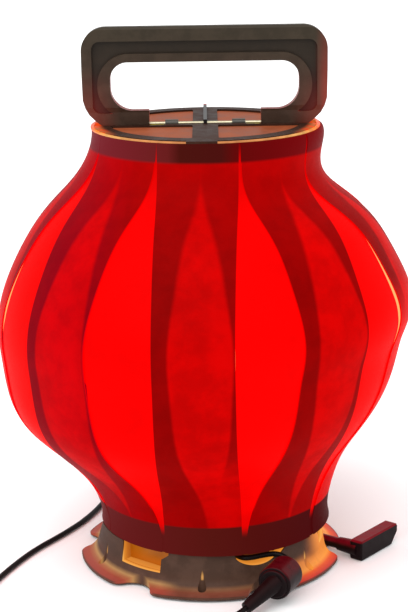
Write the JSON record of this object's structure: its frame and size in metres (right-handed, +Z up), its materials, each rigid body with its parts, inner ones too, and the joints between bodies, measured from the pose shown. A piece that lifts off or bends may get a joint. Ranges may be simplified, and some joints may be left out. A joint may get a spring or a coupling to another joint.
{
  "type": "carry lantern",
  "caption": "Portable electric lantern with a bulging shade of overlapping translucent red slats, folding handle, lobed foot and supply lead.",
  "frame": {"origin": "centre of the foot's resting face on the floor", "axes": "+Z up along the lantern's axis, front towards -Y, handle along X"},
  "size_m": [0.2669, 0.2671, 0.3385],
  "materials": {
    "outer_slat": "translucent, satin",
    "inner_slat": "translucent, satin",
    "frame_plastic": "fine moulded texture",
    "amber_plastic": "translucent amber",
    "frosted_plastic": "frosted",
    "top_sheet": "thin translucent sheet",
    "lug_plastic": "dark moulded plastic",
    "tie_plastic": "black nylon",
    "cord_sheath": "matt black sheath",
    "black_rubber": "matt black",
    "connector_plastic": "black moulded plastic",
    "rod_steel": "drawn rod",
    "screw_steel": "plated",
    "post_aluminium": "extruded",
    "board": "coated circuit board",
    "led": "warm white light chips"
  },
  "bodies": {
    "base": {"outer_slat_1": "outer_slat", "outer_slat_2": "outer_slat", "outer_slat_3": "outer_slat", "outer_slat_4": "outer_slat", "outer_slat_5": "outer_slat", "outer_slat_6": "outer_slat", "outer_slat_7": "outer_slat", "outer_slat_8": "outer_slat", "outer_slat_9": "outer_slat", "inner_slat_1": "inner_slat", "inner_slat_2": "inner_slat", "inner_slat_3": "inner_slat", "inner_slat_4": "inner_slat", "inner_slat_5": "inner_slat", "inner_slat_6": "inner_slat", "inner_slat_7": "inner_slat", "inner_slat_8": "inner_slat", "inner_slat_9": "inner_slat", "base_collar": "frame_plastic", "slat_sleeve": "frame_plastic", "base_plate": "frame_plastic", "base_screws": "screw_steel", "rubber_feet": "black_rubber", "lamp_pan": "frame_plastic", "glow_ring": "amber_plastic", "cable_gland": "black_rubber", "led_post": "post_aluminium", "led_boards": "board", "led_chips": "led", "diffuser_tube": "frosted_plastic", "driver_board": "board", "top_frame": "frame_plastic", "top_sheet": "top_sheet", "slot_lenses": "amber_plastic", "rim_lens": "amber_plastic", "top_collar": "frame_plastic", "pivot_lugs": "lug_plastic", "rear_tie": "tie_plastic", "pigtail_cord": "cord_sheath", "socket_half": "connector_plastic", "plug_half": "connector_plastic", "lead_boot": "black_rubber", "lead_cord": "cord_sheath", "lead_coil": "cord_sheath", "lead_tail": "cord_sheath", "lead_plug": "connector_plastic", "outlet_neck": "black_rubber", "outlet_boot": "black_rubber", "outlet_connector": "connector_plastic"},
    "handle": {"handle_frame": "frame_plastic", "pivot_rod": "rod_steel"},
    "ring": {"coupling_ring": "connector_plastic"}
  },
  "joints": [
    {"name": "handle_fold", "type": "hinge", "parent": "base", "child": "handle", "pos_m": [0, 0, 0.2795], "axis": [1, 0, 0], "range_deg": [-50, 50]},
    {"name": "ring_turn", "type": "hinge", "parent": "base", "child": "ring", "pos_m": [0.04148, -0.08194, 0.0151], "axis": [-0.436, -0.9, 0], "range_deg": [0, 90]}
  ]
}
